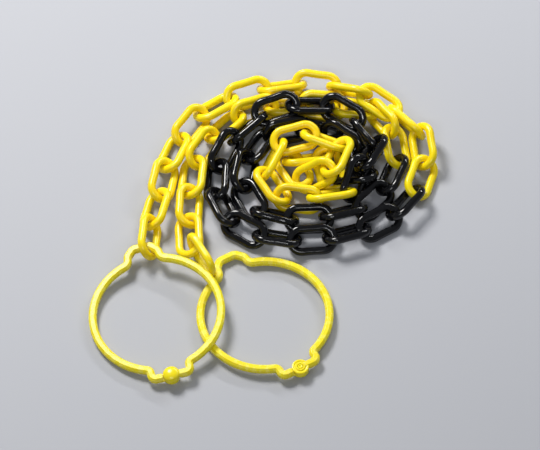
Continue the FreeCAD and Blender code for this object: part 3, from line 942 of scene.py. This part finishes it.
    @staticmethod
    def lie(record: dict, side: str, hinge: str) -> tuple[np.ndarray, np.ndarray]:
        """How a ring lies, from the record: its bore's mount and the hinge at its ear's crown.

        Args:
            record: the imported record.
            side: "left" or "right".
            hinge: the name of the joint at the crown.

        Returns:
            The ring's axes as rows, and its centre in millimetres.
        """
        mount = next(m for m in record["mounts"] if m["name"] == f"{side}_ring_bore")
        joint = next(j for j in record["behaviour"]["joints"] if j["name"] == hinge)
        centre = np.array(mount["pos_m"]) / MM
        out = np.array(mount["axis"]) / np.linalg.norm(mount["axis"])
        ear = np.array(joint["pos_m"]) / MM - centre
        ear -= (ear @ out) * out
        ear /= np.linalg.norm(ear)
        return np.stack([np.cross(ear, out), ear, out]), centre


# ---------------------------------------------------------------- the studio


@dataclass(frozen=True)
class Lamp:
    """A soft rectangular lamp that faces the middle of the object. Sizes in metres.

    Args:
        name: its name.
        place: where it hangs.
        size: its two sides.
        power: in watts.
        colour: its colour.
    """

    name: str
    place: tuple[float, float, float]
    size: tuple[float, float]
    power: float
    colour: Colour

    def hang(self) -> bpy.types.Object:
        """Makes the lamp and hangs it."""
        light = bpy.data.lights.new(self.name, "AREA")
        light.shape = "RECTANGLE"
        light.size, light.size_y = self.size
        light.energy, light.color = self.power, self.colour
        lamp = bpy.data.objects.new(self.name, light)
        lamp.location = self.place
        lamp.rotation_euler = (-Vector(self.place)).to_track_quat("-Z", "Y").to_euler()
        bpy.context.scene.collection.objects.link(lamp)
        return lamp


@dataclass
class Studio:
    """Floor, light and camera. Sizes in metres.

    Args:
        floor: the floor's half width.
        floor_colour, floor_shade: its colour, and how dark its clouds are as a share of that.
        floor_rough, floor_clouds: its roughness, and its clouds per metre.
        tooth, tooth_height: its paper's lumps per metre, and their height.
        lamps: one from the upper left behind, a narrow one for the black links' edges, and one in front.
        room_colour, room_light: colour and strength of the light from all round.
        elevation: the camera's angle above the horizon, in degrees.
        aim: the point on the floor that the camera looks at.
        width: how much of the floor its view takes in, side to side.
        lens: its focal length in millimetres, on a sensor 36 mm wide.
    """

    floor: float = 4.0
    floor_colour: Colour = (0.42, 0.43, 0.465)
    floor_shade: float = 0.97
    floor_rough: float = 0.62
    floor_clouds: float = 1.3
    tooth: float = 900.0
    tooth_height: float = 0.02 * MM
    lamps: tuple[Lamp, ...] = (
        Lamp("key", (-0.75, 1.05, 1.55), (0.60, 0.60), 40.0, (1.0, 0.985, 0.96)),
        Lamp("edge", (0.60, 1.00, 0.80), (1.0, 0.08), 7.0, (1.0, 1.0, 1.0)),
        Lamp("front", (-0.25, -1.3, 1.7), (1.0, 0.12), 9.0, (0.97, 0.985, 1.0)),
    )
    room_colour: Colour = (0.80, 0.84, 0.90)
    room_light: float = 0.22
    elevation: float = 57.0
    aim: tuple[float, float, float] = (0.0056, 0.0095, 0.0)
    width: float = 0.540
    lens: float = 500.0

    def build_floor(self) -> bpy.types.Object:
        """A plain pale floor with a faint paper tooth."""
        mesh = bpy.data.meshes.new("studio_floor")
        span = self.floor
        corners = [(-span, -span, 0), (span, -span, 0), (span, span, 0), (-span, span, 0)]
        mesh.from_pydata(corners, [], [(0, 1, 2, 3)])
        made = bpy.data.materials.new("studio_paper")
        made.use_nodes = True
        wire = Wiring(made.node_tree)
        shader = made.node_tree.nodes["Principled BSDF"]
        place = wire.add("TexCoord").outputs["Object"]
        low = tuple(part * self.floor_shade for part in self.floor_colour)
        colour = wire.mix(wire.noise(place, self.floor_clouds), (*self.floor_colour, 1.0), (*low, 1.0))
        made.node_tree.links.new(colour, shader.inputs["Base Color"])
        shader.inputs["Roughness"].default_value = self.floor_rough
        height = wire.noise(place, self.tooth, 3.0)
        bump = wire.add("Bump", {"Height": height, "Distance": self.tooth_height})
        made.node_tree.links.new(bump.outputs[0], shader.inputs["Normal"])
        mesh.materials.append(made)
        floor = bpy.data.objects.new("studio_floor", mesh)
        bpy.context.scene.collection.objects.link(floor)
        return floor

    def build_light(self) -> None:
        """Hangs the lamps and lights the room."""
        for lamp in self.lamps:
            lamp.hang()
        world = bpy.data.worlds.new("studio_room")
        world.use_nodes = True
        back = world.node_tree.nodes["Background"]
        back.inputs["Color"].default_value = (*self.room_colour, 1.0)
        back.inputs["Strength"].default_value = self.room_light
        bpy.context.scene.world = world

    def build_camera(self) -> bpy.types.Object:
        """The camera, far off with a long lens, looking down at the object from the front."""
        camera = bpy.data.cameras.new("camera")
        camera.lens = self.lens
        away = self.width * self.lens / camera.sensor_width
        tilt = math.radians(self.elevation)
        back = Vector((0.0, -math.cos(tilt), math.sin(tilt)))
        stand = bpy.data.objects.new("camera", camera)
        stand.location = Vector(self.aim) + back * away
        stand.rotation_euler = (-back).to_track_quat("-Z", "Y").to_euler()
        bpy.context.scene.collection.objects.link(stand)
        bpy.context.scene.camera = stand
        return stand


def main() -> None:
    """Loads the frame, builds the chain, the rings and the studio."""
    logging.basicConfig(level=logging.INFO, format="%(name)s: %(message)s")
    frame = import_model()
    effects = Effects()
    finishes = {finish.plastic: finish for finish in FINISHES}
    materials = {plastic: finish.material(effects) for plastic, finish in finishes.items()}
    shop = Workshop(frame["nodes"], finishes, materials)
    chain = Chain(shop).build()
    LOG.info("chain: %d pieces", len(chain))
    for side, hinge in (("left", "left_clasp"), ("right", "right_clasp")):
        axes, centre = SnapRing.lie(frame["record"], side, hinge)
        arms = SnapRing(side, shop, axes, centre).build()
        LOG.info("%s ring: %d pieces", side, len(arms))
    studio = Studio()
    studio.build_floor()
    studio.build_light()
    studio.build_camera()
    bpy.context.scene.view_settings.view_transform = "Standard"


if __name__ == "__main__":
    main()
